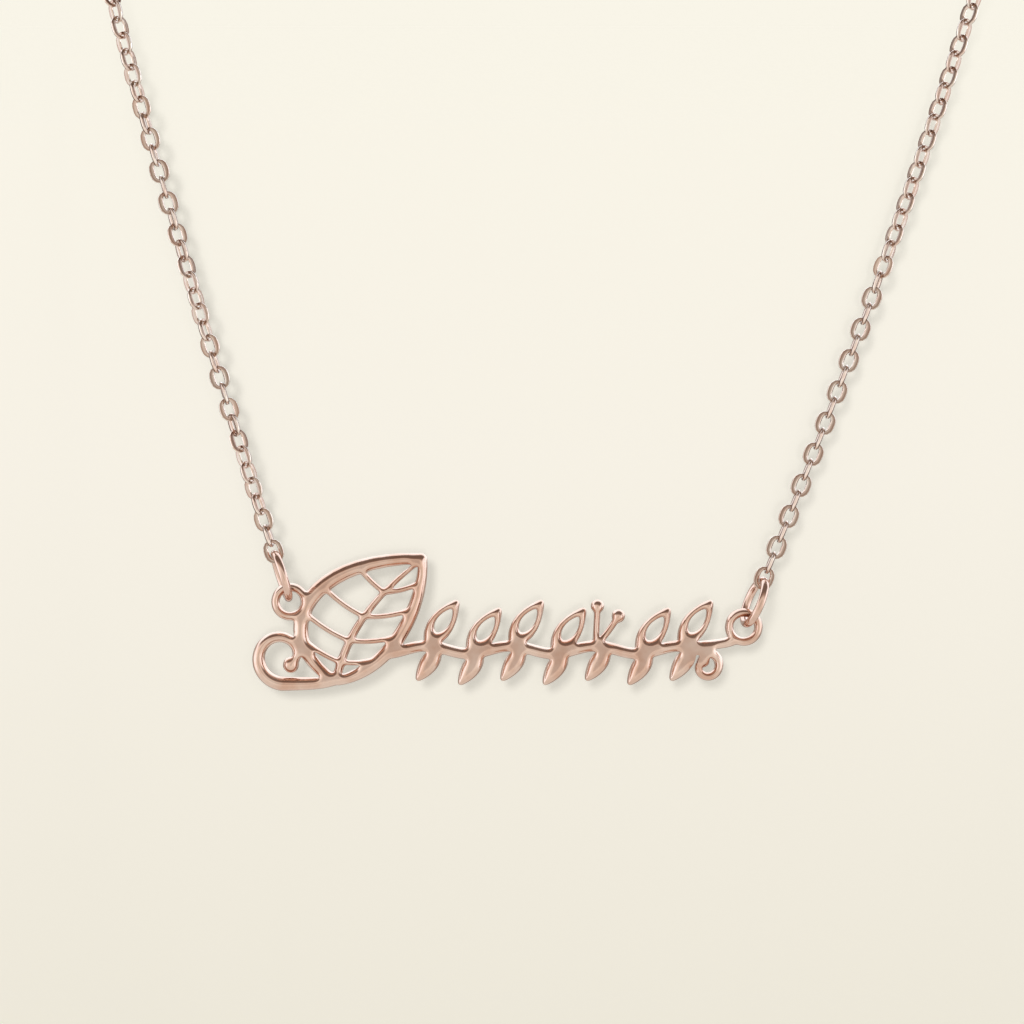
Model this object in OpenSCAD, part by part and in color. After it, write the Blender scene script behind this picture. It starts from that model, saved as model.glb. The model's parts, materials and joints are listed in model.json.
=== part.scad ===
// Ornament necklace: a pierced leaf-and-vine plate hung on two strands of cable chain.
// Millimetres. The origin is the middle of the clasp, where the necklace sits on the nape.
// +X is the wearer's left, +Y points from the plate back to the nape, +Z is up.

/* [Plate] */
// Width of the plate over everything
plate_w = 44; // [38:0.5:50]
// Height of the plate over everything
plate_h = 12; // [10:0.25:14]
// Thickness of the plate
plate_t = 1.1; // [0.8:0.05:1.5]
// Width of the thickest stroke
stroke = 1.35; // [1.1:0.05:1.6]
// Outer diameter of the eyelets
eyelet_od = 3.25; // [3:0.05:3.8]
// Bore of the eyelets
eyelet_bore = 1.8; // [1.7:0.05:2.1]

/* [Jump rings] */
// Outer diameter of the jump rings
ring_od = 4.6; // [4.2:0.1:5.4]
// Wire of the jump rings
ring_wire = 0.7; // [0.5:0.05:0.75]
// How far each ring is turned from edge-on, in degrees
ring_turn = 10; // [0:1:15]
// Gap between a ring's wire and the bore that it hangs in
ring_gap = 0.2; // [0.15:0.01:0.3]

/* [Chain] */
// Length of the open necklace from end to end, the clasp included
necklace_length = 400; // [380:1:410]
// Distance from one link to the next
link_pitch = 1.43; // [1.4:0.01:1.6]
// Width of a link
link_w = 1.7; // [1.6:0.05:1.9]
// Wire of the links
link_wire = 0.28; // [0.22:0.01:0.3]
// Gap between one link and the next
link_gap = 0.12; // [0.11:0.01:0.16]

/* [Hang] */
// Lean of the left strand at the plate, in degrees from vertical
lean_left = 17.8; // [14:0.1:22]
// Lean of the left strand above the front
lean_left_top = 14.7; // [10:0.1:17]
// Lean of the right strand at the plate
lean_right = 22.1; // [18:0.1:26]
// Lean of the right strand above the front
lean_right_top = 18; // [12:0.1:21]
// Length over which the lean eases
ease_length = 50; // [35:1:60]
// Height of the upright front above the left eyelet
front_h = 60; // [52:1:70]
// Radius of the fold over the collar bones
fold_r = 40; // [30:1:50]
// Slope of the back of the loop, in degrees from vertical
fold_angle = 65; // [50:1:75]

/* [Clasp] */
// Length of the clasp's barrel
barrel_length = 7; // [5:0.5:10]
// Diameter of the clasp's barrel
barrel_d = 2.6; // [2:0.1:3.5]
// Outer diameter of the clasp's two loops
loop_od = 2.6; // [2.4:0.1:3]
// Wire of the clasp's loops
loop_wire = 0.6; // [0.5:0.05:0.7]

/* [Hidden] */

rose = "#c99a86";
rose_dark = "#a87868";
LEFT = -1;
RIGHT = 1;

// Eyelet centres, as shares of the plate's width and height
EYELET_LEFT = [0.075, 0.64];
EYELET_RIGHT = [0.963, 0.458];

// Curved strokes. Each row is a start, two handles and an end as shares of the plate's width and
// height, then the width at the start, middle and end as shares of the thickest stroke:
// start x, y, handle x, y, handle x, y, end x, y, width start, middle, end
LEAF_OUTER = [0.165, 0.070, 0.035, 0.340, 0.085, 0.960, 0.335, 0.950, 0.60, 1.00, 0.70];
LEAF_INNER = [0.165, 0.070, 0.262, 0.130, 0.335, 0.540, 0.335, 0.950, 0.60, 0.90, 0.55];
MIDRIB = [0.165, 0.070, 0.180, 0.350, 0.225, 0.650, 0.330, 0.930, 0.60, 0.48, 0.30];
SCROLL_STEM = [0.170, 0.085, 0.145, 0.048, 0.105, 0.051, 0.053, 0.051, 0.60, 0.78, 0.90];
EYELET_STEM = [0.850, 0.310, 0.895, 0.340, 0.930, 0.325, 0.950, 0.380, 0.55, 0.62, 0.66];
STROKES = [LEAF_OUTER, LEAF_INNER, MIDRIB, SCROLL_STEM, EYELET_STEM];

// Scrolls wind inwards clockwise and end in a ball: turn in degrees, radius at the start and end as
// shares of the plate's height, then width at the start and end and ball radius as shares of the
// thickest stroke. The large one goes on from the scroll stem and the small one from the vine,
// each from just before the other's end.
LARGE_SCROLL = [315, 0.199, 0.090, 0.90, 0.50, 0.52];
SMALL_SCROLL = [320, 0.105, 0.045, 0.60, 0.45, 0.42];
STEM_LEFT_AT = 0.96;
VINE_LEFT_AT = 0.985;

// Side veins of the leaf: a share along the midrib, then the shares along the outer and the inner
// edge that the two veins run to
VEINS = [
    [0.16, 0.30, 0.34],
    [0.34, 0.46, 0.52],
    [0.54, 0.63, 0.70],
    [0.74, 0.80, 0.86]
];
VEIN_WIDTH = 0.36;
// How far a vein or a stalk sags, as a share of its length
BOW = 0.12;

// Round joints and ends: centre as shares of the plate, radius as a share of the thickest stroke
BALLS = [
    [0.165, 0.095, 0.42],
    [0.3327, 0.950, 0.35]
];

// The vine: start and end as shares of the plate's width, its height and its wave as shares of
// the plate's height, and its width as a share of the thickest stroke
VINE = [0.268, 0.905, 0.295, 0.028, 0.72];
// Pairs of leaves: how many, and where the first is and how far apart they are, as shares of the
// vine. One pair has two berries on stalks in place of its upper leaf.
LEAF_PAIRS = 7;
FIRST_PAIR = 0.115;
PAIR_STEP = 0.130;
BERRY_PAIR = 4;
// Berries: right and up from the vine as shares of the plate's height
BERRIES = [[0.015, 0.285], [0.165, 0.215]];
BERRY_R = 0.44;
STALK_WIDTH = 0.42;
// Lean of the leaves from upright, in degrees
LEAF_LEAN = 35;
// Length of the upper and the lower leaves as shares of the plate's height, how far apart a
// pair's leaves start as a share of the vine, and a leaf's width as a share of its length
LEAF_UP = 0.41;
LEAF_DOWN = 0.30;
LEAF_SPLIT = 0.042;
LEAF_WIDTH = 0.45;
// A leaf's outline: how far its widest place lies towards its base, how full it is, and how wide
// its very tip is as a share of the leaf's length
LEAF_SWELL = 0.8;
LEAF_FULL = 0.75;
LEAF_TIP = 0.005;
// The slot in an upper leaf: where it starts and how large it is, as shares of the leaf
SLOT_START = 0.29;
SLOT_SIZE = 0.50;

// How each strand is turned about its own line: link number, then degrees
TWIST_LEFT = [[0, 0], [6, 45], [11, 90], [17, 135], [24, 180], [33, 225], [42, 270]];
TWIST_RIGHT = [[0, 0], [17, 0], [22, 45], [40, 45], [50, 90]];

CURVE_STEPS = 20;
SCROLL_STEPS = 32;
WAVE_STEPS = 7;
LEAF_STEPS = 10;
DEG = 180 / PI;

// Plate: points and curves

function on_plate(share) = [share[0] * plate_w, share[1] * plate_h];

function curve_at(row, t) =
    on_plate([row[0], row[1]]) * pow(1 - t, 3)
    + on_plate([row[2], row[3]]) * 3 * t * pow(1 - t, 2)
    + on_plate([row[4], row[5]]) * 3 * t * t * (1 - t)
    + on_plate([row[6], row[7]]) * pow(t, 3);

function width_at(start, middle, end, t) =
    start + (end - start) * t + (4 * middle - 2 * (start + end)) * t * (1 - t);

// The point beside a line of points, half the width to one side
function beside(points, widths, i, side) =
    let (
        last = len(points) - 1,
        along = points[min(i + 1, last)] - points[max(i - 1, 0)],
        across = [-along[1], along[0]] / norm(along)
    )
    points[i] + across * side * widths[i] / 2;

// A flat stroke along a line of points, as wide at each as its width says
module brush(points, widths, depth = plate_t) {
    last = len(points) - 1;
    linear_extrude(height = depth, center = true)
        polygon(concat(
            [for (i = [0 : last]) beside(points, widths, i, 1)],
            [for (i = [last : -1 : 0]) beside(points, widths, i, -1)]
        ));
}

module ball(place, radius) {
    translate(place)
        cylinder(r = radius * stroke, h = plate_t, center = true, $fn = 40);
}

module curve_stroke(row) {
    steps = [for (i = [0 : CURVE_STEPS]) i / CURVE_STEPS];
    brush(
        [for (t = steps) curve_at(row, t)],
        [for (t = steps) stroke * width_at(row[8], row[9], row[10], t)]
    );
}

// Goes on from a place in a heading, in degrees from +x, round a centre to the right of it
function scroll_at(from, heading, row, t) =
    let (
        turned = heading + 90 - row[0] * t,
        radius = plate_h * (row[1] + (row[2] - row[1]) * t),
        centre = from - plate_h * row[1] * [cos(heading + 90), sin(heading + 90)]
    )
    centre + radius * [cos(turned), sin(turned)];

module scroll(from, heading, row) {
    steps = [for (i = [0 : SCROLL_STEPS]) i / SCROLL_STEPS];
    brush(
        [for (t = steps) scroll_at(from, heading, row, t)],
        [for (t = steps) stroke * (row[3] + (row[4] - row[3]) * t)]
    );
    ball(scroll_at(from, heading, row, 1), row[5]);
}

// A thin stroke that sags a little between two places
module bowed(from, to, width) {
    handle = (from + to) / 2 - [0, BOW * norm(to - from)];
    steps = [for (i = [0 : LEAF_STEPS]) i / LEAF_STEPS];
    brush(
        [for (t = steps) from * pow(1 - t, 2) + handle * 2 * t * (1 - t) + to * t * t],
        [for (t = steps) width * stroke]
    );
}

module veins() {
    for (row = VEINS) {
        bowed(curve_at(MIDRIB, row[0]), curve_at(LEAF_OUTER, row[1]), VEIN_WIDTH);
        bowed(curve_at(MIDRIB, row[0]), curve_at(LEAF_INNER, row[2]), VEIN_WIDTH);
    }
}

// A wave for each two pairs of leaves, so that each pair sits at a crest or a trough
function vine_at(share) =
    on_plate([
        VINE[0] + (VINE[1] - VINE[0]) * share,
        VINE[2] + VINE[3] * cos(180 * (share - FIRST_PAIR) / PAIR_STEP)
    ]);

vine_tail = vine_at(1) - vine_at(VINE_LEFT_AT);
vine_heading = atan2(vine_tail[1], vine_tail[0]);

module vine() {
    last = WAVE_STEPS * LEAF_PAIRS;
    brush(
        [for (i = [0 : last]) vine_at(i / last)],
        [for (i = [0 : last]) stroke * VINE[4]]
    );
}

// A share of a leaf's full width at a share of its length
function leaf_share(t) = pow(sin(180 * pow(t, LEAF_SWELL)), LEAF_FULL);

// A leaf along x, blunt at its base and its tip
module leaf(length, depth = plate_t) {
    steps = [for (i = [0 : LEAF_STEPS]) (1 - cos(180 * i / LEAF_STEPS)) / 2];
    brush(
        [for (t = steps) [length * t, 0]],
        [for (t = steps) length * (LEAF_TIP + LEAF_WIDTH * leaf_share(t))],
        depth
    );
}

module on_vine(share, lean) {
    translate(vine_at(share))
        rotate(lean)
            children();
}

module leaf_pair(i) {
    share = FIRST_PAIR + PAIR_STEP * i;
    if (i == BERRY_PAIR)
        for (row = BERRIES) {
            berry = vine_at(share) + row * plate_h;
            bowed(vine_at(share), berry, STALK_WIDTH);
            ball(berry, BERRY_R);
        }
    else
        on_vine(share, 90 - LEAF_LEAN)
            difference() {
                leaf(LEAF_UP * plate_h);
                translate([SLOT_START * LEAF_UP * plate_h, 0])
                    leaf(SLOT_SIZE * LEAF_UP * plate_h, 2 * plate_t);
            }
    on_vine(share + LEAF_SPLIT, 270 - LEAF_LEAN)
        leaf(LEAF_DOWN * plate_h);
}

// The hang: each strand lies in a flat sheet, worked out from its leans, and the sheet is then
// folded backwards over the collar bones without any stretch. In the sheet, x is measured from
// the middle between the eyelets and height from the left eyelet.

eyelet_span = (EYELET_RIGHT[0] - EYELET_LEFT[0]) * plate_w;
eyelet_drop = (EYELET_LEFT[1] - EYELET_RIGHT[1]) * plate_h;

// From an eyelet's centre to its ring's centre, and on to the centre of the first link
ring_r = (ring_od - ring_wire) / 2;
ring_reach = eyelet_bore / 2 - ring_gap - ring_wire / 2 + ring_r;
link_inside = link_pitch + link_gap;
grip = ring_reach + ring_r - ring_wire / 2 - link_gap + link_inside / 2;

// From the middle of the clasp to a loop's centre, and on to the centre of the last link
loop_r = (loop_od - loop_wire) / 2;
loop_reach = barrel_length / 2 + loop_r;
clasp_reach = loop_reach + loop_r - loop_wire / 2 - link_gap + link_inside / 2;

function lean(side) = side == LEFT ? lean_left : lean_right;
function lean_top(side) = side == LEFT ? lean_left_top : lean_right_top;
function ease_r(side) = ease_length * DEG / (lean(side) - lean_top(side));
function eased_out(side) = ease_r(side) * (cos(lean_top(side)) - cos(lean(side)));
function eased_up(side) = ease_r(side) * (sin(lean(side)) - sin(lean_top(side)));

function eyelet(side) = [side * eyelet_span / 2, side == LEFT ? 0 : -eyelet_drop];
function start(side) = eyelet(side) + grip * [side * sin(lean(side)), cos(lean(side))];

// The two strands close at the nape: both end level, and as far apart as the clasp is long.
// Each straight stretch is then a share of the arch's radius and a constant.
spread = 2 * clasp_reach
    - (start(RIGHT)[0] - start(LEFT)[0])
    - eased_out(LEFT)
    - eased_out(RIGHT);
rise = start(RIGHT)[1] + eased_up(RIGHT) - start(LEFT)[1] - eased_up(LEFT);
closing = sin(lean_left_top + lean_right_top);
cos_sum = cos(lean_left_top) + cos(lean_right_top);
sin_step = sin(lean_right_top) - sin(lean_left_top);

function share_of_arch(side) =
    side == LEFT
    ? (cos_sum * cos(lean_right_top) + sin_step * sin(lean_right_top)) / closing
    : (cos_sum * cos(lean_left_top) - sin_step * sin(lean_left_top)) / closing;
function constant_of_arch(side) =
    side == LEFT
    ? (spread * cos(lean_right_top) + rise * sin(lean_right_top)) / closing
    : (spread * cos(lean_left_top) - rise * sin(lean_left_top)) / closing;

arch_turns = (180 + lean_left_top + lean_right_top) / DEG;
fixed_length = norm(eyelet(RIGHT) - eyelet(LEFT)) + 2 * (grip + ease_length + clasp_reach);
arch_r = (necklace_length - fixed_length - constant_of_arch(LEFT) - constant_of_arch(RIGHT))
    / (share_of_arch(LEFT) + share_of_arch(RIGHT) + arch_turns);

function straight(side) = share_of_arch(side) * arch_r + constant_of_arch(side);
function arch_length(side) = arch_r * (90 + lean_top(side)) / DEG;
function strand_length(side) = ease_length + straight(side) + arch_length(side);

// How far out and up a strand has come at a length along it, and its lean there
function strand_at(side, along) =
    let (
        top = lean_top(side),
        past_ease = along - ease_length,
        past_straight = past_ease - straight(side)
    )
    past_ease < 0
    ? let (now = lean(side) + (top - lean(side)) * along / ease_length)
        [ease_r(side) * (cos(now) - cos(lean(side))), ease_r(side) * (sin(lean(side)) - sin(now)), now]
    : past_straight < 0
    ? [eased_out(side) + past_ease * sin(top), eased_up(side) + past_ease * cos(top), top]
    : let (now = top - past_straight / arch_r * DEG)
        [
            eased_out(side) + straight(side) * sin(top) + arch_r * (cos(now) - cos(top)),
            eased_up(side) + straight(side) * cos(top) + arch_r * (sin(top) - sin(now)),
            now
        ];

// Where the nape is in the sheet
nape_out = strand_at(RIGHT, strand_length(RIGHT));
nape = start(RIGHT) + [nape_out[0] - clasp_reach, nape_out[1]];

// The fold: how far back and up a height in the sheet comes, and its slope there
fold_length = fold_r * fold_angle / DEG;
function folded(height) =
    let (past = height - front_h)
    past < 0
    ? [0, height, 0]
    : past < fold_length
    ? let (slope = past / fold_r * DEG)
        [fold_r * (1 - cos(slope)), front_h + fold_r * sin(slope), slope]
    : [
        fold_r * (1 - cos(fold_angle)) + (past - fold_length) * sin(fold_angle),
        front_h + fold_r * sin(fold_angle) + (past - fold_length) * cos(fold_angle),
        fold_angle
    ];
nape_folded = folded(nape[1]);
front_y = -nape_folded[0];
eyelet_z = -nape_folded[1];

function in_space(place) =
    let (back = folded(place[1]))
    [place[0] - nape[0], back[0] + front_y, back[1] + eyelet_z];

// A frame at a place in the sheet: its own x runs along the strand, and at roll 0 its xy plane
// lies in the sheet
function frame_at(side, place, heading, roll) =
    let (
        slope = folded(place[1])[2],
        up = [0, sin(slope), cos(slope)],
        facing = [0, -cos(slope), sin(slope)],
        along = [side * sin(heading), 0, 0] + cos(heading) * up,
        across = [cos(heading), 0, 0] - side * sin(heading) * up,
        y = cos(roll) * across + sin(roll) * facing,
        z = cross(along, y),
        at = in_space(place)
    )
    [
        [along[0], y[0], z[0], at[0]],
        [along[1], y[1], z[1], at[1]],
        [along[2], y[2], z[2], at[2]],
        [0, 0, 0, 1]
    ];

// An odd number of links, so that the last one crosses the clasp's loop
function link_count(side) = 2 * round(strand_length(side) / link_pitch / 2) + 1;

function link_frame(side, i) =
    let (
        count = link_count(side),
        at = strand_at(side, strand_length(side) * i / (count - 1)),
        place = start(side) + [side * at[0], at[1]],
        twist = lookup(i, side == LEFT ? TWIST_LEFT : TWIST_RIGHT)
    )
    frame_at(side, place, at[2], 90 * i + twist);

// Sub-parts

module wire_ring(radius, wire) {
    rotate_extrude($fn = 48)
        translate([radius, 0])
            circle(d = wire, $fn = 20);
}

module link_end(radius) {
    rotate([0, 0, -90])
        rotate_extrude(angle = 180, $fn = 28)
            translate([radius, 0])
                circle(d = link_wire, $fn = 16);
}

// An oval link of round wire, its long way along x
module link() {
    radius = (link_w - link_wire) / 2;
    half_side = (link_inside + 2 * link_wire - link_w) / 2;
    translate([half_side, 0, 0])
        link_end(radius);
    rotate([0, 0, 180])
        translate([half_side, 0, 0])
            link_end(radius);
    for (side = [-1, 1])
        translate([0, side * radius, 0])
            rotate([0, 90, 0])
                cylinder(d = link_wire, h = 2 * half_side, center = true, $fn = 16);
}

module chain(side) {
    color(rose_dark)
        for (i = [0 : link_count(side) - 1])
            multmatrix(link_frame(side, i))
                link();
}

module jump_ring(side) {
    place = eyelet(side) + ring_reach * [side * sin(lean(side)), cos(lean(side))];
    color(rose)
        multmatrix(frame_at(side, place, lean(side), 90 - ring_turn))
            wire_ring(ring_r, ring_wire);
}

module ornament() {
    for (row = STROKES)
        curve_stroke(row);
    scroll(curve_at(SCROLL_STEM, STEM_LEFT_AT), 180, LARGE_SCROLL);
    scroll(vine_at(VINE_LEFT_AT), vine_heading, SMALL_SCROLL);
    for (row = BALLS)
        ball(on_plate(row), row[2]);
    veins();
    vine();
    for (i = [0 : LEAF_PAIRS - 1])
        leaf_pair(i);
}

module nameplate() {
    corner = in_space(eyelet(LEFT)) - [EYELET_LEFT[0] * plate_w, 0, EYELET_LEFT[1] * plate_h];
    color(rose)
        translate(corner)
            rotate([90, 0, 0])
                difference() {
                    union() {
                        ornament();
                        for (share = [EYELET_LEFT, EYELET_RIGHT])
                            translate(on_plate(share))
                                cylinder(d = eyelet_od, h = plate_t, center = true, $fn = 64);
                    }
                    for (share = [EYELET_LEFT, EYELET_RIGHT])
                        translate(on_plate(share))
                            cylinder(d = eyelet_bore, h = 2 * plate_t, center = true, $fn = 48);
                }
}

module jump_ring_left() {
    jump_ring(LEFT);
}

module jump_ring_right() {
    jump_ring(RIGHT);
}

module chain_left() {
    chain(LEFT);
}

module chain_right() {
    chain(RIGHT);
}

module clasp() {
    color(rose)
        rotate([90 - fold_angle, 0, 0]) {
            rotate([0, 90, 0])
                cylinder(d = barrel_d, h = barrel_length, center = true, $fn = 48);
            for (side = [-1, 1])
                translate([side * loop_reach, 0, 0])
                    wire_ring(loop_r, loop_wire);
        }
}

nameplate();
jump_ring_left();
jump_ring_right();
chain_left();
chain_right();
clasp();
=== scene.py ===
# Ornament necklace in rose gold: a polished leaf-and-vine plate on flat-faced cable chain
import json
import bpy
import numpy as np
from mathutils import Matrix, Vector


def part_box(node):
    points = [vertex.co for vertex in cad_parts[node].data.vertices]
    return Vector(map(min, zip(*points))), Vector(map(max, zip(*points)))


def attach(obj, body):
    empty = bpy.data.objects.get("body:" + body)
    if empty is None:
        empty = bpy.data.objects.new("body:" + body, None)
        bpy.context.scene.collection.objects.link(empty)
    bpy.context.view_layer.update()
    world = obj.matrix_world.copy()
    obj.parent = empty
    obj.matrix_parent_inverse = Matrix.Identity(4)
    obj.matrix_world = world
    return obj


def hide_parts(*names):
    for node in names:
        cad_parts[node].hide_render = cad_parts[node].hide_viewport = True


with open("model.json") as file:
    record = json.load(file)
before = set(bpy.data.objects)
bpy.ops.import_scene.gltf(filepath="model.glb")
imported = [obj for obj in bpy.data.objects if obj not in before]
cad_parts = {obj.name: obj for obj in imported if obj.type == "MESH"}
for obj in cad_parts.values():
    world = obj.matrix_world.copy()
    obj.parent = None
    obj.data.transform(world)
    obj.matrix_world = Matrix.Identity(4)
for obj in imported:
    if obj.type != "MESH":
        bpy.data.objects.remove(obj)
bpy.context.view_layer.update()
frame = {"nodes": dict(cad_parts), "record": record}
scene = bpy.context.scene
mm = 0.001  # sizes in this file are in millimetres, and meshes are in metres
print("frame loaded:", ", ".join(sorted(frame["nodes"])))


# Tools that every piece uses

def unit(rows):
    # each row divided by its length
    return rows / np.linalg.norm(rows, axis=-1, keepdims=True)


def newPiece(name, points, quads, material, slot, node, normals=None, flat=None):
    # points: rows of x, y, z in mm; quads: rows of four point numbers, anticlockwise from outside;
    # flat: for each point 1 on a flat face and 0 on a rounded edge, which its metal reads for its
    # polish and for the painted shade it puts on flat faces
    mesh = bpy.data.meshes.new(name)
    mesh.vertices.add(len(points))
    mesh.vertices.foreach_set("co", (points * mm).astype(np.float32).ravel())
    mesh.loops.add(quads.size)
    mesh.loops.foreach_set("vertex_index", quads.astype(np.int32).ravel())
    mesh.polygons.add(len(quads))
    mesh.polygons.foreach_set("loop_start", np.arange(0, quads.size, 4, dtype=np.int32))
    mesh.polygons.foreach_set("use_smooth", np.ones(len(quads), dtype=bool))
    mesh.update(calc_edges=True)
    if flat is not None:
        values = mesh.attributes.new("flat", "FLOAT", "POINT").data
        values.foreach_set("value", flat.astype(np.float32))
    if normals is not None:
        mesh.normals_split_custom_set_from_vertices(unit(normals).tolist())
    mesh.materials.append(material)
    piece = bpy.data.objects.new(name, mesh)
    scene.collection.objects.link(piece)
    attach(piece, "root")
    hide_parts(node)
    print(name, "made of", len(quads), "faces")
    return piece


def closedQuads(around, section):
    # faces of a ring of around times section points, numbered along the section first
    s, a = np.meshgrid(np.arange(section), np.arange(around))
    nextS, nextA = (s + 1) % section, (a + 1) % around
    corners = [a * section + s, nextA * section + s, nextA * section + nextS, a * section + nextS]
    return np.stack([c.ravel() for c in corners], axis=1)


def linear(hexColour):
    # an sRGB hex colour as linear red, green, blue and a full alpha: ((c + 0.055) / 1.055) ^ 2.4,
    # and c / 12.92 for the darkest
    parts = np.array([int(hexColour[i:i + 2], 16) for i in (1, 3, 5)]) / 255
    parts = np.where(parts > 0.04045, ((parts + 0.055) / 1.055) ** 2.4, parts / 12.92)
    return (*parts, 1.0)


def addNode(tree, kind, settings=None, inputs=None):
    # a node of that kind with its own settings; an input's name or number leads to a value or to
    # the output that is linked to it
    node = tree.nodes.new(kind)
    for key, value in (settings or {}).items():
        setattr(node, key, value)
    for key, value in (inputs or {}).items():
        if isinstance(value, bpy.types.NodeSocket):
            tree.links.new(value, node.inputs[key])
        else:
            node.inputs[key].default_value = value
    return node


# Camera, at the photo's angle: level, straight at the plate, as near as its 85 mm lens asks

view = dict(
    plateLeft=252,  # photo pixels at which the plate's left and right ends show
    plateRight=763,
    plateTop=553,  # and its top
    pixels=1024,
    lens=85,
    sensor=36,
    nearest=10,  # what the camera shows begins this far from it
)
plateLow, plateHigh = (np.array(corner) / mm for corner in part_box("nameplate"))
plateMiddle = (plateLow + plateHigh) / 2
mmPerPixel = (plateHigh[0] - plateLow[0]) / (view["plateRight"] - view["plateLeft"])
# the aim puts the plate's left end and its top on their pixels, and the distance its width
aimX = plateLow[0] + (view["pixels"] / 2 - view["plateLeft"]) * mmPerPixel
aimZ = plateHigh[2] - (view["pixels"] / 2 - view["plateTop"]) * mmPerPixel
away = view["pixels"] * mmPerPixel * view["lens"] / view["sensor"]
camera = bpy.data.objects.new("camera", bpy.data.cameras.new("camera"))
camera.data.lens = view["lens"]
camera.data.sensor_width = view["sensor"]
camera.data.clip_start = view["nearest"] * mm
camera.location = np.array([aimX, plateMiddle[1] - away, aimZ]) * mm
camera.rotation_euler = (np.pi / 2, 0, 0)
scene.collection.objects.link(camera)
scene.camera = camera
print("camera aims at", round(aimX, 2), round(aimZ, 2), "from", round(away, 1), "mm away")


# Materials. The real metal is brass with a rose gold plating, a copper-rich gold with a pink cast.

wear = dict(
    colourSpan=(0.35, 0.65),  # part of the noise over which the deep colour turns into the pale one
    polishSpan=(0.3, 0.7),  # and the polish into the duller one
)


def metal(name, settings):
    # plated metal: its colour drifts a little over the piece, its polish drifts with it and is
    # duller on flat faces by "satin", and flat faces are darkened by the flat tint, which is
    # painted shade; a fine grain and a shallow ripple are left by the polishing
    made = bpy.data.materials.new(name)
    made.use_nodes = True
    tree = made.node_tree
    shader = tree.nodes["Principled BSDF"]
    shader.inputs["Metallic"].default_value = 1.0
    place = addNode(tree, "ShaderNodeTexCoord").outputs["Object"]
    patches = addNode(tree, "ShaderNodeTexNoise", inputs={
        "Vector": place, "Scale": 1 / (settings["patchSize"] * mm), "Detail": 3.0,
        "Roughness": 0.6})
    colour = addNode(tree, "ShaderNodeValToRGB", inputs={"Fac": patches.outputs["Fac"]})
    deep, pale = colour.color_ramp.elements
    deep.position, pale.position = wear["colourSpan"]
    deep.color, pale.color = linear(settings["deepColour"]), linear(settings["paleColour"])
    flat = addNode(tree, "ShaderNodeAttribute", {"attribute_name": "flat"})
    drift = addNode(tree, "ShaderNodeMapRange", inputs={
        "Value": patches.outputs["Fac"],
        "From Min": wear["polishSpan"][0], "From Max": wear["polishSpan"][1],
        "To Min": settings["roughness"][0], "To Max": settings["roughness"][1]})
    polish = addNode(tree, "ShaderNodeMath", {"operation": "MULTIPLY_ADD"}, {
        0: flat.outputs["Fac"], 1: settings["satin"], 2: drift.outputs["Result"]})
    grain = addNode(tree, "ShaderNodeTexNoise", inputs={
        "Vector": place, "Scale": 1 / (settings["grainSize"] * mm), "Detail": 2.0})
    fine = addNode(tree, "ShaderNodeBump", inputs={
        "Height": grain.outputs["Fac"], "Strength": 1.0, "Distance": settings["grainDepth"] * mm})
    ripple = addNode(tree, "ShaderNodeTexNoise", inputs={
        "Vector": place, "Scale": 1 / (settings["rippleSize"] * mm), "Detail": 1.0})
    relief = addNode(tree, "ShaderNodeBump", inputs={
        "Height": ripple.outputs["Fac"], "Strength": 1.0, "Distance": settings["rippleDepth"] * mm,
        "Normal": fine.outputs["Normal"]})
    # the flat tint darkens the colour on flat faces: painted shade for the dark reflection they
    # catch
    tone = addNode(tree, "ShaderNodeMix", {"data_type": "RGBA", "blend_type": "MULTIPLY"}, {
        0: flat.outputs["Fac"], 6: colour.outputs["Color"], 7: linear(settings["flatShadeTint"])})
    tree.links.new(tone.outputs[2], shader.inputs["Base Color"])
    tree.links.new(polish.outputs[0], shader.inputs["Roughness"])
    tree.links.new(relief.outputs["Normal"], shader.inputs["Normal"])
    return made


# Tumble-polished: soft reflections, so the flat of the plate is an even pink and only its rounded
# edges turn dark and bright. Its flat faces are also darkened a little by the flat tint, which is
# painted shade
plateMetal = metal("rose gold plated brass, tumble polished", dict(
    deepColour="#D1AA96", paleColour="#DFC2B2", patchSize=2.5, roughness=(0.12, 0.20), satin=0.26,
    flatShadeTint="#EFEFEF",
    grainSize=0.12, grainDepth=0.001, rippleSize=1.3, rippleDepth=0.03))
# Drawn wire, bright polished: sharp light and dark stripes along the wire
wireMetal = metal("rose gold plated brass wire, bright polished", dict(
    deepColour="#CFAC9A", paleColour="#DFBFB0", patchSize=1.5, roughness=(0.10, 0.16), satin=0,
    flatShadeTint="#FFFFFF",
    grainSize=0.10, grainDepth=0.0004, rippleSize=1.0, rippleDepth=0.01))
# Rolled and faceted wire: flat mirror faces that are dark towards the camera and flash when turned.
# Its colours are much paler than the plate's metal, which paints brighter highlights on its edges,
# and its flat faces are darkened by a brown-grey flat tint, which is painted shade
chainMetal = metal("rose gold plated brass, rolled and faceted", dict(
    deepColour="#F4D8C9", paleColour="#FFF0E4", patchSize=1.2, roughness=(0.10, 0.18), satin=0,
    flatShadeTint="#988478",
    grainSize=0.08, grainDepth=0.0004, rippleSize=0.8, rippleDepth=0.012))


# The plate: its outline is the CAD plate's own, and its front is rounded as tumbling rounds it

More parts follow.
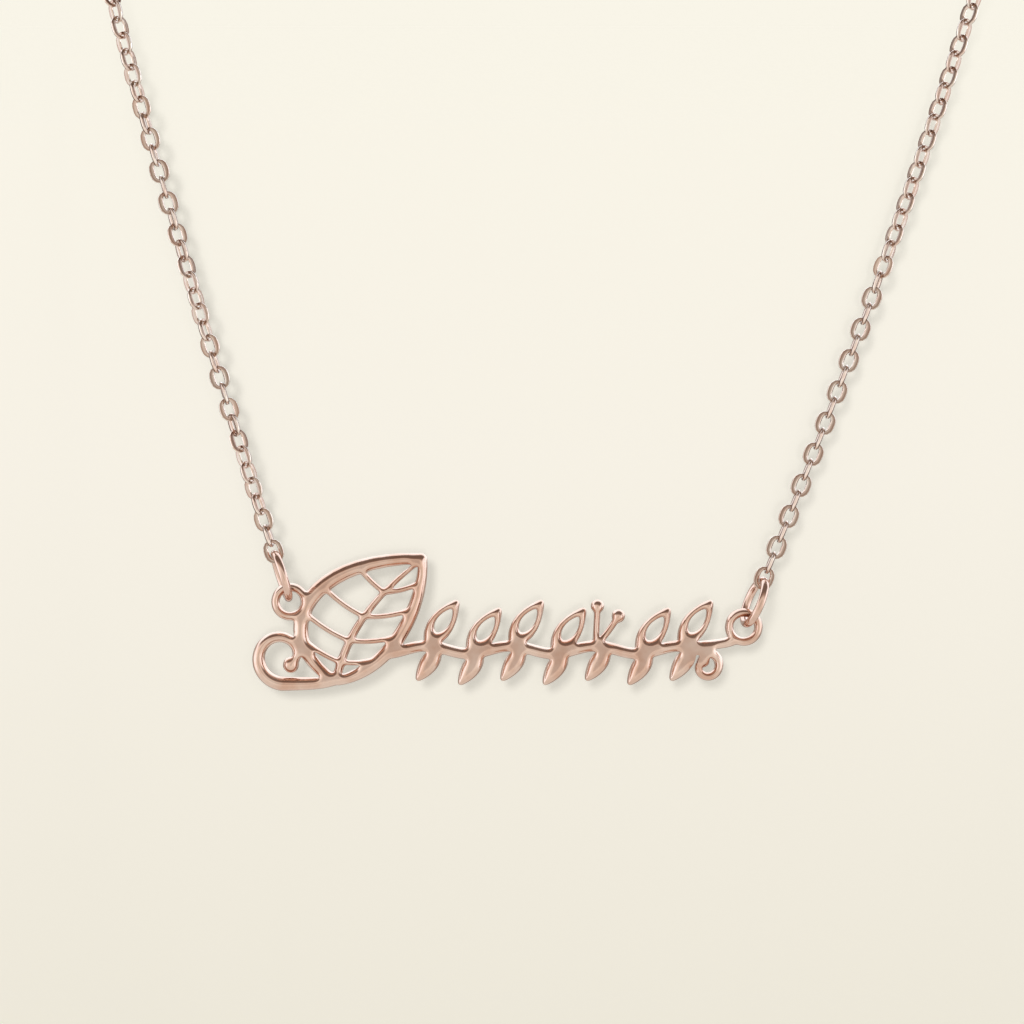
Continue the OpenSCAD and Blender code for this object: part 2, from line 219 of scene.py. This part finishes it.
plate = dict(
    grid=0.08,  # distance between surface points
    corner=0.12,  # how far tumbling has softened corners and notches
    band=0.09,  # width of the rounded edge that is added outside the grid
    bandRows=(1.0, 0.68, 0.4, 0.18, 0.05, 0.0),  # rows of it, as shares of its width
    # slope of the front in degrees, by the distance from the outline: the tumbled edge is steep
    # outside, then slants, and turns quickly into the flat face
    slopes=((0, 76), (0.13, 64), (0.18, 51), (0.46, 33), (0.58, 9), (0.66, 0)),
    ridge=0.15,  # how widely the two slopes of a narrow stroke are rounded into each other
    satin=((0.46, 0), (0.60, 1)),  # how flat the front counts as, by that distance: duller there, and darker as painted shade
    backRound=0.09,  # radius of the back's edge
    backTurns=(0, 30, 60),  # where its rows lie on that round, in degrees
    faceTolerance=0.001,  # how far a point of the flat front may lie behind the foremost
    distanceReach=1.2,  # distances from the outline are measured up to here
    firmFrom=0.3,  # a grid point this share of a cell inside the band's line carries a cell
    leastSlope=0.2,  # a move onto that line is divided by the slope squared, and by this at least
    shortestArm=0.08,  # of the film's grid arms that the outline cuts, as a share of a cell
    filmRounds=300,
    tableSize=300,
)


def frontEdges(node):
    # the front outline of a node: those edges of its front faces that belong to one face alone
    mesh = node.data
    mesh.calc_loop_triangles()
    points = np.empty(len(mesh.vertices) * 3, dtype=np.float32)
    mesh.vertices.foreach_get("co", points)
    points = points.reshape(-1, 3) / mm
    faces = np.empty(len(mesh.loop_triangles) * 3, dtype=np.int32)
    mesh.loop_triangles.foreach_get("vertices", faces)
    faces = faces.reshape(-1, 3)
    front = (points[faces, 1] < points[:, 1].min() + plate["faceTolerance"]).all(axis=1)
    spots, number = np.unique(np.round(points[:, [0, 2]], 4), axis=0, return_inverse=True)
    faces = number.reshape(-1)[faces[front]]
    edges = np.sort(np.concatenate([faces[:, [0, 1]], faces[:, [1, 2]], faces[:, [2, 0]]]), axis=1)
    edges, uses = np.unique(edges, axis=0, return_counts=True)
    edges = spots[edges[uses == 1]].astype(float)
    return edges[:, 0], edges[:, 1]


def distanceInside(xs, zs, starts, ends):
    # for each grid point the distance to the nearest outline edge, below zero outside; a point is
    # inside where a level line from it meets the outline an odd number of times
    reach = plate["distanceReach"]
    along = ends - starts
    result = np.full((len(zs), len(xs)), -reach)
    for row, z in enumerate(zs):
        near = (np.minimum(starts[:, 1], ends[:, 1]) < z + reach)
        near &= np.maximum(starts[:, 1], ends[:, 1]) > z - reach
        if not near.any():
            continue
        a, d = starts[near], along[near]
        offX = xs[:, None] - a[:, 0]
        offZ = z - a[:, 1]
        share = np.clip((offX * d[:, 0] + offZ * d[:, 1]) / (d ** 2).sum(axis=1), 0, 1)
        gap = np.hypot(offX - share * d[:, 0], offZ - share * d[:, 1]).min(axis=1)
        meets = (a[:, 1] > z) != (a[:, 1] + d[:, 1] > z)
        atX = a[meets, 0] + (z - a[meets, 1]) / d[meets, 1] * d[meets, 0]
        inside = (xs[:, None] < atX).sum(axis=1) % 2 == 1
        result[row] = np.where(inside, np.minimum(gap, reach), -np.minimum(gap, reach))
    return result


def neighbours(field):
    # the field as seen one step to the right, left, up and down
    padded = np.pad(field, 1, mode="edge")
    return padded[1:-1, 2:], padded[1:-1, :-2], padded[2:, 1:-1], padded[:-2, 1:-1]


def soften(field, width, step):
    # a blur of that width: each round takes a share of every neighbour, and n rounds spread it over
    # the root of 2 * share * n grid steps
    share = 0.2
    for _ in range(int(np.ceil((width / step) ** 2 / (2 * share)))):
        field = field + share * (sum(neighbours(field)) - 4 * field)
    return field


def filmHeight(inside, step, spread):
    # height of a soap film blown up over the outline and held down by its own spring: near 0 at
    # the edge, rising within about one spread, and level at 1 in wide places. Arms that cross the
    # outline are cut short at it, so the film meets the true edge and not the grid's.
    solid = inside > 0
    within = [other > 0 for other in neighbours(inside)]
    cut = [np.clip(inside / np.maximum(inside - other, 1e-9), plate["shortestArm"], 1.0)
           for other in neighbours(inside)]
    right, left, up, down = (np.where(isWithin, 1.0, arm) for isWithin, arm in zip(within, cut))
    spring = (step / spread) ** 2
    total = 2 / (right * left) + 2 / (up * down) + spring
    weights = [2 / (right * (right + left)), 2 / (left * (right + left)),
               2 / (up * (up + down)), 2 / (down * (up + down))]
    film = np.where(solid, 0.5, 0.0)
    for _ in range(plate["filmRounds"]):
        pull = sum(np.where(isWithin, other, 0.0) * weight
                   for isWithin, other, weight in zip(within, neighbours(film), weights))
        film = np.where(solid, (pull + spring) / total, 0.0)
    return film


def sample(field, x, z, x0, z0, step):
    # the field at any place, straight between the four nearest grid points
    u = np.clip((x - x0) / step, 0, field.shape[1] - 1.001)
    v = np.clip((z - z0) / step, 0, field.shape[0] - 1.001)
    i, j = u.astype(int), v.astype(int)
    u, v = u - i, v - j
    return ((field[j, i] * (1 - u) + field[j, i + 1] * u) * (1 - v)
            + (field[j + 1, i] * (1 - u) + field[j + 1, i + 1] * u) * v)


def plateSurface(node):
    # a grid over the CAD plate's outline: at each point the front stands above the back by the
    # thickness less what its slopes still climb from that point's depth inside the outline
    step, band = plate["grid"], plate["band"]
    starts, ends = frontEdges(node)
    low, high = plateLow - 4 * step, plateHigh + 4 * step
    xs = np.arange(low[0], high[0], step)
    zs = np.arange(low[2], high[2], step)
    inside = soften(distanceInside(xs, zs, starts, ends), plate["corner"], step)
    film = filmHeight(inside, step, plate["ridge"])
    # depth = - ridge * log(1 - film) is the distance from the outline, but smooth where the two
    # sides of a stroke meet. Depth over distance is smooth up to the edge, so that is sampled.
    depth = -plate["ridge"] * np.log(1 - np.minimum(film, 0.9999))
    ratio = np.where(inside > step / 2, depth / np.maximum(inside, step / 2), 0.0)
    known = (inside > step / 2).astype(float)
    for _ in range(4):  # it is carried a few cells past the edge, for what is sampled there
        spreadOut = sum(neighbours(ratio * known)) / np.maximum(sum(neighbours(known)), 1)
        ratio = np.where(known > 0, ratio, spreadOut)
        known = np.maximum(known, np.sign(sum(neighbours(known))))
    slopeX = np.gradient(inside, step, axis=1)
    slopeZ = np.gradient(inside, step, axis=0)

    # cells with a corner well inside the band's inner line; their other corners move onto the line
    firm = inside - band > plate["firmFrom"] * step
    cells = firm[:-1, :-1] | firm[1:, :-1] | firm[:-1, 1:] | firm[1:, 1:]
    used = np.zeros_like(firm)
    for rows, columns in ((slice(0, -1), slice(0, -1)), (slice(1, None), slice(0, -1)),
                          (slice(0, -1), slice(1, None)), (slice(1, None), slice(1, None))):
        used[rows, columns] |= cells
    number = np.cumsum(used).reshape(used.shape) - 1
    j, i = np.nonzero(used)
    x, z = xs[i], zs[j]
    loose = ~firm[used]
    for _ in range(3):  # each round moves them by what they miss the line by, over the slope there
        at = (x[loose], z[loose], xs[0], zs[0], step)
        gx, gz = sample(slopeX, *at), sample(slopeZ, *at)
        miss = (sample(inside, *at) - band) / np.maximum(gx ** 2 + gz ** 2, plate["leastSlope"])
        x[loose] -= miss * gx
        z[loose] -= miss * gz
    j, i = np.nonzero(cells)
    front = np.stack([number[j, i], number[j, i + 1],
                      number[j + 1, i + 1], number[j + 1, i]], axis=1)

    # the outer edges of those cells, each once and with the metal on its left
    count = used.sum()
    edges = np.concatenate([front[:, [k, (k + 1) % 4]] for k in range(4)])
    edges = edges[~np.isin(edges[:, 0] * count + edges[:, 1], edges[:, 1] * count + edges[:, 0])]
    rim = np.unique(edges[:, 0])
    spot = np.searchsorted(rim, edges)
    outward = -unit(np.stack([sample(slopeX, x[rim], z[rim], xs[0], zs[0], step),
                              sample(slopeZ, x[rim], z[rim], xs[0], zs[0], step)], axis=1))

    # height above the back = thickness - what the slopes still have to climb at that depth
    knots, angles = np.array(plate["slopes"]).T
    table = np.linspace(0, knots[-1], plate["tableSize"])
    climb = np.cumsum(np.tan(np.radians(np.interp(table, knots, angles)))) * table[1]
    thick = plateHigh[1] - plateLow[1]
    at = (x, z, xs[0], zs[0], step)
    depths = [np.maximum(sample(ratio, *at) * sample(inside, *at), 0)]
    height = thick - climb[-1] + np.interp(depths[0], table, climb)
    edgeRatio = sample(ratio, x[rim], z[rim], xs[0], zs[0], step)
    rows = []
    for share in plate["bandRows"][1:]:
        depths.append(edgeRatio * share * band)
        rows.append((share * band, thick - climb[-1] + np.interp(depths[-1], table, climb)))
    backRound = plate["backRound"]
    for turn in np.radians(plate["backTurns"]):
        rows.append((band * (1 - np.cos(turn)), np.full(len(rim), backRound * (1 - np.sin(turn)))))

    back = plateHigh[1]
    points = [np.stack([x, back - height, z], axis=1)]
    for inward, level in rows:
        place = np.stack([x[rim], z[rim]], axis=1) + outward * (band - inward)
        points.append(np.stack([place[:, 0], back - level, place[:, 1]], axis=1))
    points.append(np.stack([x, np.full(count, back), z], axis=1))
    starts = [rim] + [count + k * len(rim) + np.arange(len(rim)) for k in range(len(rows))]
    starts.append(count + len(rows) * len(rim) + rim)
    quads = [front]
    for inner, outer in zip(starts[:-1], starts[1:]):
        a, b = spot[:, 0], spot[:, 1]
        quads.append(np.stack([inner[b], inner[a], outer[a], outer[b]], axis=1))
    quads.append(front[:, ::-1] + count + len(rows) * len(rim))
    # how flat each point counts: 1 where the front is flat and 0 on its slopes and sides; the metal
    # makes flat parts duller, a finish, and darkens their colour, painted shade
    flat = np.interp(np.concatenate(depths), *np.array(plate["satin"]).T)
    points = np.concatenate(points)
    flat = np.concatenate([flat, np.zeros(len(points) - len(flat) - count), np.ones(count)])
    return points, np.concatenate(quads), flat


points, quads, flat = plateSurface(frame["nodes"]["nameplate"])
newPiece("nameplate_polished", points, quads, plateMetal, "plate_metal", "nameplate", flat=flat)


# The chain: each link's place and directions are measured on the CAD chain, and the link itself is
# rolled wire: flat faces that are widest at the middle of its sides

link = dict(
    length=2.11,  # over everything
    width=1.70,
    sideBroad=0.50,  # the wire at the middle of a side, seen face on
    lastBroad=0.44,  # the same for a strand's two end links, which hold thicker wire
    endBroad=0.29,  # and at an end
    sideThick=0.38,  # the wire at the middle of a side, seen edge on
    endThick=0.29,
    bulge=1.5,  # it grows from an end to a side with the sine of the turn to this power
    around=16,
    flat=(0.40, 0.80),  # where the flat face lies on the wire's breadth, counted from the hole
    # how much of the flat tint's painted shade the metal takes at the outer edge, the face's outer
    # and inner border and the hole
    flatShadeShare=(0, 1, 0.6, 0),
)


def nodePoints(node):
    # the points of a CAD node in mm
    points = np.empty(len(node.data.vertices) * 3, dtype=np.float32)
    node.data.vertices.foreach_get("co", points)
    return points.reshape(-1, 3).astype(float) / mm


def placed(clouds):
    # the centre of each cloud of points, and its directions of greatest, middle and least spread
    centres = clouds.mean(axis=1)
    off = clouds - centres[:, None]
    directions = np.linalg.eigh(np.einsum("nij,nik->njk", off, off))[1]
    along, across = directions[:, :, 2], directions[:, :, 1]
    return centres, np.stack([along, across, np.cross(along, across)], axis=1)


def linkSurface(sideBroad):
    # a stadium-shaped path with a six-sided section: two flat faces and round edges, the inner one
    # wider; the section is broad at the sides and narrow at the ends
    half = link["around"] // 2
    arc = np.linspace(-np.pi / 2, np.pi / 2, half)
    angle = np.concatenate([arc, arc + np.pi])
    end = np.concatenate([np.ones_like(arc), -np.ones_like(arc)])
    radius = link["width"] / 2
    shift = link["length"] / 2 - radius
    sideways = np.abs(np.sin(angle)) ** link["bulge"]
    broad = link["endBroad"] + (sideBroad - link["endBroad"]) * sideways
    thick = link["endThick"] + (link["sideThick"] - link["endThick"]) * sideways
    near, far = link["flat"]
    section = np.array([[far, 0.5], [near, 0.5], [0, 0], [near, -0.5], [far, -0.5], [1, 0]])
    facing = np.array([[0, 1], [0, 1], [-1, 0], [0, -1], [0, -1], [1, 0]])
    out = np.stack([np.cos(angle), np.sin(angle)], axis=1)
    reach = radius - broad[:, None] * (1 - section[:, 0])
    flatPart = out[:, None, :] * reach[:, :, None]
    flatPart[:, :, 0] += (shift * end)[:, None]
    points = np.concatenate([flatPart, (thick[:, None] * section[:, 1])[:, :, None]], axis=2)
    normals = np.concatenate([out[:, None, :] * facing[:, 0][:, None],
                              np.broadcast_to(facing[:, 1][:, None], (len(angle), 6, 1))], axis=2)
    return points.reshape(-1, 3), normals.reshape(-1, 3)


def chainStrand(name):
    # each link's points are its centre plus the one link's points times its own directions; the
    # strand's two end links, its lowest and its highest, have the narrower wire
    counts = {row["node"]: row["pieces"] for row in frame["record"]["physics"]["collision_by_node"]}
    links = counts[name]
    centres, axes = placed(nodePoints(frame["nodes"][name]).reshape(links, -1, 3))
    points, normals = linkSurface(link["sideBroad"])
    lastPoints, _ = linkSurface(link["lastBroad"])
    quads = closedQuads(link["around"], 6)
    allPoints = centres[:, None] + points @ axes
    for last in (centres[:, 2].argmin(), centres[:, 2].argmax()):
        allPoints[last] = centres[last] + lastPoints @ axes[last]
    allNormals = normals @ axes
    offsets = np.arange(links)[:, None, None] * len(points)
    # each point of the section takes the painted shade of the flat faces by its place on the
    # section
    rim, far, near, hole = link["flatShadeShare"]
    flat = np.tile([far, near, hole, near, far, rim], links * link["around"])
    newPiece(name + "_links", allPoints.reshape(-1, 3), (quads[None] + offsets).reshape(-1, 4),
             chainMetal, "chain_metal", name, allNormals.reshape(-1, 3), flat)


chainStrand("chain_left")
chainStrand("chain_right")


# The jump rings: round wire, measured on the CAD rings

ringFaces = dict(around=72, section=20)


def ringSurface(centre, axes, radius, wire):
    # a circle of wire: the section's circle carried round the ring's circle
    turn = np.linspace(0, 2 * np.pi, ringFaces["around"], endpoint=False)[:, None]
    roll = np.linspace(0, 2 * np.pi, ringFaces["section"], endpoint=False)[None, :]
    reach = radius + wire / 2 * np.cos(roll)
    local = np.stack([reach * np.cos(turn), reach * np.sin(turn),
                      wire / 2 * np.sin(roll) + 0 * turn], axis=2).reshape(-1, 3)
    return centre + local @ axes, closedQuads(ringFaces["around"], ringFaces["section"])


for name in ("jump_ring_left", "jump_ring_right"):
    cloud = nodePoints(frame["nodes"][name])
    centres, axes = placed(cloud[None])
    seen = (cloud - centres[0]) @ axes[0].T
    wire = np.ptp(seen[:, 2])
    radius = np.hypot(seen[:, 0], seen[:, 1]).max() - wire / 2
    newPiece(name + "_wire", *ringSurface(centres[0], axes[0], radius, wire),
             wireMetal, "wire_metal", name)


# The clasp: a plain barrel with softened ends and a wire loop at each, where the CAD clasp has them

clasp = dict(
    endSoftness=7,  # 2 is an egg, 20 is a sharp cylinder
    around=64,
    along=40,
    endTolerance=0.001,  # how far along a point may lie from the barrel's end and belong to it
    loopFrom=0.1,  # from this far past the end the points are the loop's
)


def barrelSurface(length, radius):
    # radius at x = R * (1 - |2x / L|^n)^(1/n), turned about the x axis and closed to a point
    t = np.linspace(-np.pi / 2, np.pi / 2, clasp["along"] + 1)[1:-1]
    n = clasp["endSoftness"]
    x = length / 2 * np.sign(np.sin(t)) * np.abs(np.sin(t)) ** (2 / n)
    r = radius * np.cos(t) ** (2 / n)
    turn = np.linspace(0, 2 * np.pi, clasp["around"], endpoint=False)
    points = np.stack([np.repeat(x, len(turn)), np.outer(r, np.cos(turn)).ravel(),
                       np.outer(r, np.sin(turn)).ravel()], axis=1)
    tips = np.array([[-length / 2, 0, 0], [length / 2, 0, 0]])
    around = len(turn)
    k, a = np.meshgrid(np.arange(len(x) - 1), np.arange(around), indexing="ij")
    nextA = (a + 1) % around
    corners = [k * around + a, (k + 1) * around + a, (k + 1) * around + nextA, k * around + nextA]
    quads = np.stack([c.ravel() for c in corners], axis=1)[:, ::-1]
    # each cap's faces span two steps of the last circle and meet at the tip
    a = np.arange(0, around, 2)
    last = (len(x) - 1) * around
    count = len(points)
    caps = [np.stack([0 * a + count, (a + 2) % around, a + 1, a], axis=1),
            np.stack([0 * a + count + 1, last + a, last + a + 1, last + (a + 2) % around], axis=1)]
    return np.concatenate([points, tips]), np.concatenate([quads, *caps])


def claspSurface(node):
    # the CAD barrel has points only round its two ends, and those lie nearest to the middle
    cloud = nodePoints(node)
    barrelEnd = np.abs(cloud[:, 0]).min()
    body = cloud[np.abs(cloud[:, 0]) < barrelEnd + clasp["endTolerance"]]
    middle = np.array([0, *(body.max(axis=0) + body.min(axis=0))[1:] / 2])
    radius = np.hypot(*(body - middle)[:, 1:].T).max()
    points, quads = barrelSurface(2 * barrelEnd, radius)
    allPoints, allQuads = [middle + points], [quads]
    for side in (-1, 1):
        loop = cloud[cloud[:, 0] * side > barrelEnd + clasp["loopFrom"]]
        axes = np.linalg.eigh(np.cov((loop - loop.mean(axis=0)).T))[1]
        flat = axes[:, 0]
        wire = np.ptp(loop @ flat)
        # the loop's centre lies as far from its tip as half its width
        half = np.ptp(loop @ np.cross(flat, [1, 0, 0])) / 2
        centre = middle + np.array([side * (np.abs(loop[:, 0]).max() - half), 0, 0])
        frameAxes = np.stack([[1, 0, 0], np.cross(flat, [1, 0, 0]), flat])
        ring, quads = ringSurface(centre, frameAxes, half - wire / 2, wire)
        allQuads.append(quads + sum(len(part) for part in allPoints))
        allPoints.append(ring)
    return np.concatenate(allPoints), np.concatenate(allQuads)


newPiece("clasp_polished", *claspSurface(frame["nodes"]["clasp"]), wireMetal, "wire_metal", "clasp")


# The stage: a studio that the metal reflects, dark overhead and pale in front, behind and below,
# with a pale background, a sheet that takes the soft shadow, and a pale floor

stage = dict(
    # the paper behind, by its height in the main view's frame: 0 at the bottom and 1 at the top;
    # the colours grow lighter upward, painted light that falls off towards the bottom
    paper=((-1.0, "#F1EBDE"), (0.0, "#EDE8DA"), (0.55, "#F6F1E5"), (1.0, "#F9F5E8")),
    floor="#F1EBDE",
    sheetBehind=2.57,  # behind the plate's back, where the jump rings clear it
    sheetBox=((-80, -165), (75, -55)),  # x and z of its corners
    fade=0.2,  # share of its width and height over which it fades out
    # name, direction that the light comes from, its width in degrees and its share; the last one
    # skims the sheet and lights the floor
    lights=(("key", (-0.2, -1, 0.28), 15, 0.21), ("fill", (0.05, -1, -0.11), 6, 0.05),
            ("front", (0, -1, 0.05), 50, 0.11), ("top", (0, 0, 1), 5, 0.84)),
    ambient=0.08,  # the light from all round
    glow=0.55,  # the sheet's own share of its brightness, which no shadow takes away
    shade=(1.0, 0.98, 0.94),  # the tint of the ambient light
    floorBelow=350,  # below the camera
    floorRadius=1200,
    floorSides=96,
    floorRoughness=0.8,
    # brightness and tint by the angle round a nearly level axis: 0 is towards the camera, 90 is up
    sweep=((-180, 0.62, "warm"), (-156, 0.4, "brown"), (-136, 0.95, "warm"), (-70, 0.95, "warm"),
           (-30, 1.1, "warm"), (0, 1.2, "warm"), (28, 1.1, "warm"), (44, 0.5, "brown"),
           (58, 0.24, "brown"), (104, 0.24, "brown"), (118, 1.62, "cool"), (160, 1.62, "cool"),
           (172, 0.5, "brown"), (180, 0.62, "warm")),
    tints=dict(warm=(0.98, 0.985, 0.94), brown=(1.0, 0.80, 0.69), cool=(1.0, 1.09, 1.18)),
    lean=14,  # the dark overhead lies this far to the right
    sides=(1.6, "cool"),  # the same two for the far left and the far right
    sidesFrom=0.8,  # where they begin and are full, as the sine of the angle from the middle
    sidesFull=0.96,
    spotDark=0.72,  # the camera's own dark patch in polished faces
    spotInner=10,
    spotOuter=34,
)


def lightColour(bright, tint):
    # that tint, made as bright as that
    return (*(bright * part for part in stage["tints"][tint]), 1)


def paperColour(tree, value, bottom, top):
    # the paper's colour with its painted light, lighter towards the top, for a value that runs from
    # bottom to top over the frame's height
    first, last = stage["paper"][0][0], stage["paper"][-1][0]
    height = addNode(tree, "ShaderNodeMapRange", inputs={
        "Value": value, "From Min": bottom + (top - bottom) * first,
        "From Max": bottom + (top - bottom) * last})
    tone = addNode(tree, "ShaderNodeValToRGB", inputs={"Fac": height.outputs["Result"]})
    for _ in stage["paper"][1:-1]:
        tone.color_ramp.elements.new(0.5)
    for element, (place, colour) in zip(tone.color_ramp.elements, stage["paper"]):
        element.position = (place - first) / (last - first)
        element.color = linear(colour)
    return tone.outputs["Color"]


world = bpy.data.worlds.new("studio")
world.use_nodes = True
scene.world = world
tree = world.node_tree
tree.nodes.clear()
direction = addNode(tree, "ShaderNodeTexCoord").outputs["Generated"]
part = addNode(tree, "ShaderNodeSeparateXYZ", inputs={0: direction})
lean = np.radians(stage["lean"])
upward = addNode(tree, "ShaderNodeVectorMath", {"operation": "DOT_PRODUCT"}, {
    0: direction, 1: (np.sin(lean), 0, np.cos(lean))})
front = addNode(tree, "ShaderNodeMath", {"operation": "MULTIPLY"}, {0: part.outputs["Y"], 1: -1.0})
angle = addNode(tree, "ShaderNodeMath", {"operation": "ARCTAN2"}, {
    0: upward.outputs["Value"], 1: front.outputs[0]})
share = addNode(tree, "ShaderNodeMapRange",
                inputs={"Value": angle.outputs[0], "From Min": -np.pi, "From Max": np.pi})
sweep = addNode(tree, "ShaderNodeValToRGB", inputs={"Fac": share.outputs["Result"]})
ramp = sweep.color_ramp
for degrees, _, _ in stage["sweep"][1:-1]:
    ramp.elements.new((degrees + 180) / 360)
for element, (degrees, bright, tint) in zip(ramp.elements, stage["sweep"]):
    element.position = (degrees + 180) / 360
    element.color = lightColour(bright, tint)
sideways = addNode(tree, "ShaderNodeMath", {"operation": "ABSOLUTE"}, {0: part.outputs["X"]})
sides = addNode(tree, "ShaderNodeMapRange", {"interpolation_type": "SMOOTHSTEP"}, {
    "Value": sideways.outputs[0], "From Min": stage["sidesFrom"], "From Max": stage["sidesFull"]})
studio = addNode(tree, "ShaderNodeMix", {"data_type": "RGBA"}, {
    0: sides.outputs["Result"], 6: sweep.outputs["Color"], 7: lightColour(*stage["sides"])})
spot = addNode(tree, "ShaderNodeMapRange", {"interpolation_type": "SMOOTHSTEP"}, {
    "Value": front.outputs[0], "From Min": np.cos(np.radians(stage["spotOuter"])),
    "From Max": np.cos(np.radians(stage["spotInner"])), "To Min": 1.0, "To Max": stage["spotDark"]})
# the main view's frame, as heights of its bottom and top in the world's own directions
reach = np.sin(np.arctan(view["sensor"] / 2 / view["lens"]))
# the background that the camera sees has the same painted light, lighter towards the top
seen = addNode(tree, "ShaderNodeBackground", inputs={
    "Color": paperColour(tree, part.outputs["Z"], -reach, reach)})
lit = addNode(tree, "ShaderNodeBackground", inputs={
    "Color": studio.outputs[2], "Strength": spot.outputs["Result"]})
dim = addNode(tree, "ShaderNodeBackground", inputs={
    "Color": (*stage["shade"], 1), "Strength": stage["ambient"]})
ray = addNode(tree, "ShaderNodeLightPath")
# the metal reflects the studio for the eye, but throws none of it on the sheet
direct = addNode(tree, "ShaderNodeMath", {"operation": "LESS_THAN"}, {
    0: ray.outputs["Diffuse Depth"], 1: 0.5})
mirrored = addNode(tree, "ShaderNodeMath", {"operation": "MULTIPLY"}, {
    0: ray.outputs["Is Glossy Ray"], 1: direct.outputs[0]})
glossy = addNode(tree, "ShaderNodeMixShader",
                 inputs={0: mirrored.outputs[0], 1: dim.outputs[0], 2: lit.outputs[0]})
both = addNode(tree, "ShaderNodeMixShader",
               inputs={0: ray.outputs["Is Camera Ray"], 1: glossy.outputs[0], 2: seen.outputs[0]})
addNode(tree, "ShaderNodeOutputWorld", inputs={"Surface": both.outputs[0]})

# A sheet close behind the plate that takes its soft shadow. It is lit to the background's own
# colour and fades out towards its edges, and it is clear from behind and in the metal.
low, high = np.array(stage["sheetBox"])
depth = plateHigh[1] + stage["sheetBehind"]
points = np.array([[low[0], depth, high[1]], [high[0], depth, high[1]],
                   [high[0], depth, low[1]], [low[0], depth, low[1]]])
mesh = bpy.data.meshes.new("shadow_sheet")
mesh.from_pydata((points * mm).tolist(), [], [(0, 3, 2, 1)])
mesh.uv_layers.new(name="place").data.foreach_set("uv", [0, 1, 0, 0, 1, 0, 1, 1])
sheet = bpy.data.objects.new("shadow_sheet", mesh)
scene.collection.objects.link(sheet)
sheet.visible_glossy = False
sheet.visible_diffuse = False
sheet.visible_shadow = False
paper = bpy.data.materials.new("matt paper")
paper.use_nodes = True
tree = paper.node_tree
tree.nodes.clear()
place = addNode(tree, "ShaderNodeSeparateXYZ", inputs={
    0: addNode(tree, "ShaderNodeTexCoord").outputs["UV"]})
# how much of the sheet shows: 1 from the front, times an ease from 0 to 1 at each of its edges
shown = addNode(tree, "ShaderNodeMath", {"operation": "SUBTRACT"}, {
    0: 1.0, 1: addNode(tree, "ShaderNodeNewGeometry").outputs["Backfacing"]})
for axis in ("X", "Y"):
    for start, end in ((0.0, stage["fade"]), (1.0, 1 - stage["fade"])):
        ease = addNode(tree, "ShaderNodeMapRange", {"interpolation_type": "SMOOTHSTEP"}, {
            "Value": place.outputs[axis], "From Min": start, "From Max": end})
        shown = addNode(tree, "ShaderNodeMath", {"operation": "MULTIPLY"}, {
            0: shown.outputs[0], 1: ease.outputs["Result"]})
# the frame's bottom and top at the sheet, as shares of the sheet's own height
half = (away + stage["sheetBehind"]) * view["sensor"] / 2 / view["lens"]
bottom, top = ((aimZ + end * half - low[1]) / (high[1] - low[1]) for end in (-1, 1))
tone = paperColour(tree, place.outputs["Y"], bottom, top)
matt = addNode(tree, "ShaderNodeBsdfDiffuse", inputs={"Color": tone})
glow = addNode(tree, "ShaderNodeEmission", inputs={"Color": tone, "Strength": stage["glow"]})
lightened = addNode(tree, "ShaderNodeAddShader", inputs={0: matt.outputs[0], 1: glow.outputs[0]})
clear = addNode(tree, "ShaderNodeBsdfTransparent")
both = addNode(tree, "ShaderNodeMixShader", inputs={
    0: shown.outputs[0], 1: clear.outputs[0], 2: lightened.outputs[0]})
addNode(tree, "ShaderNodeOutputMaterial", inputs={"Surface": both.outputs[0]})
mesh.materials.append(paper)

# Soft studio lights. The shares of the key, fill and front light, the ambient light and the sheet's
# glow add up to 1, so the sheet shows its own colour where no shadow falls. The top light does the
# same for the floor. The metal doesn't show the lights.
lampDistance = 500  # only for order in the scene, since a sun lights the same from anywhere
for name, towards, width, share in stage["lights"]:
    lamp = bpy.data.lights.new(name, "SUN")
    lamp.angle = np.radians(width)
    slant = unit(np.array(towards, dtype=float))
    lamp.energy = share * np.pi / max(-slant[1], slant[2])
    light = bpy.data.objects.new(name, lamp)
    light.rotation_euler = Vector(-slant).to_track_quat("-Z", "Y").to_euler()
    light.location = slant * lampDistance * mm
    light.visible_glossy = False
    scene.collection.objects.link(light)

# The floor, a pale disc that runs into the background
turn = np.linspace(0, 2 * np.pi, stage["floorSides"], endpoint=False)
floorZ = aimZ - stage["floorBelow"]
points = np.stack([stage["floorRadius"] * np.cos(turn), stage["floorRadius"] * np.sin(turn),
                   0 * turn + floorZ], axis=1)
mesh = bpy.data.meshes.new("floor")
mesh.from_pydata((points * mm).tolist(), [], [tuple(range(len(points)))])
floor = bpy.data.objects.new("floor", mesh)
scene.collection.objects.link(floor)
floor.visible_glossy = False
floor.visible_diffuse = False
plaster = bpy.data.materials.new("pale painted floor")
plaster.use_nodes = True
shader = plaster.node_tree.nodes["Principled BSDF"]
shader.inputs["Base Color"].default_value = linear(stage["floor"])
shader.inputs["Roughness"].default_value = stage["floorRoughness"]
mesh.materials.append(plaster)
print("studio, shadow sheet, lights and floor made")

# hex colours come out as they are given
scene.view_settings.view_transform = "Standard"
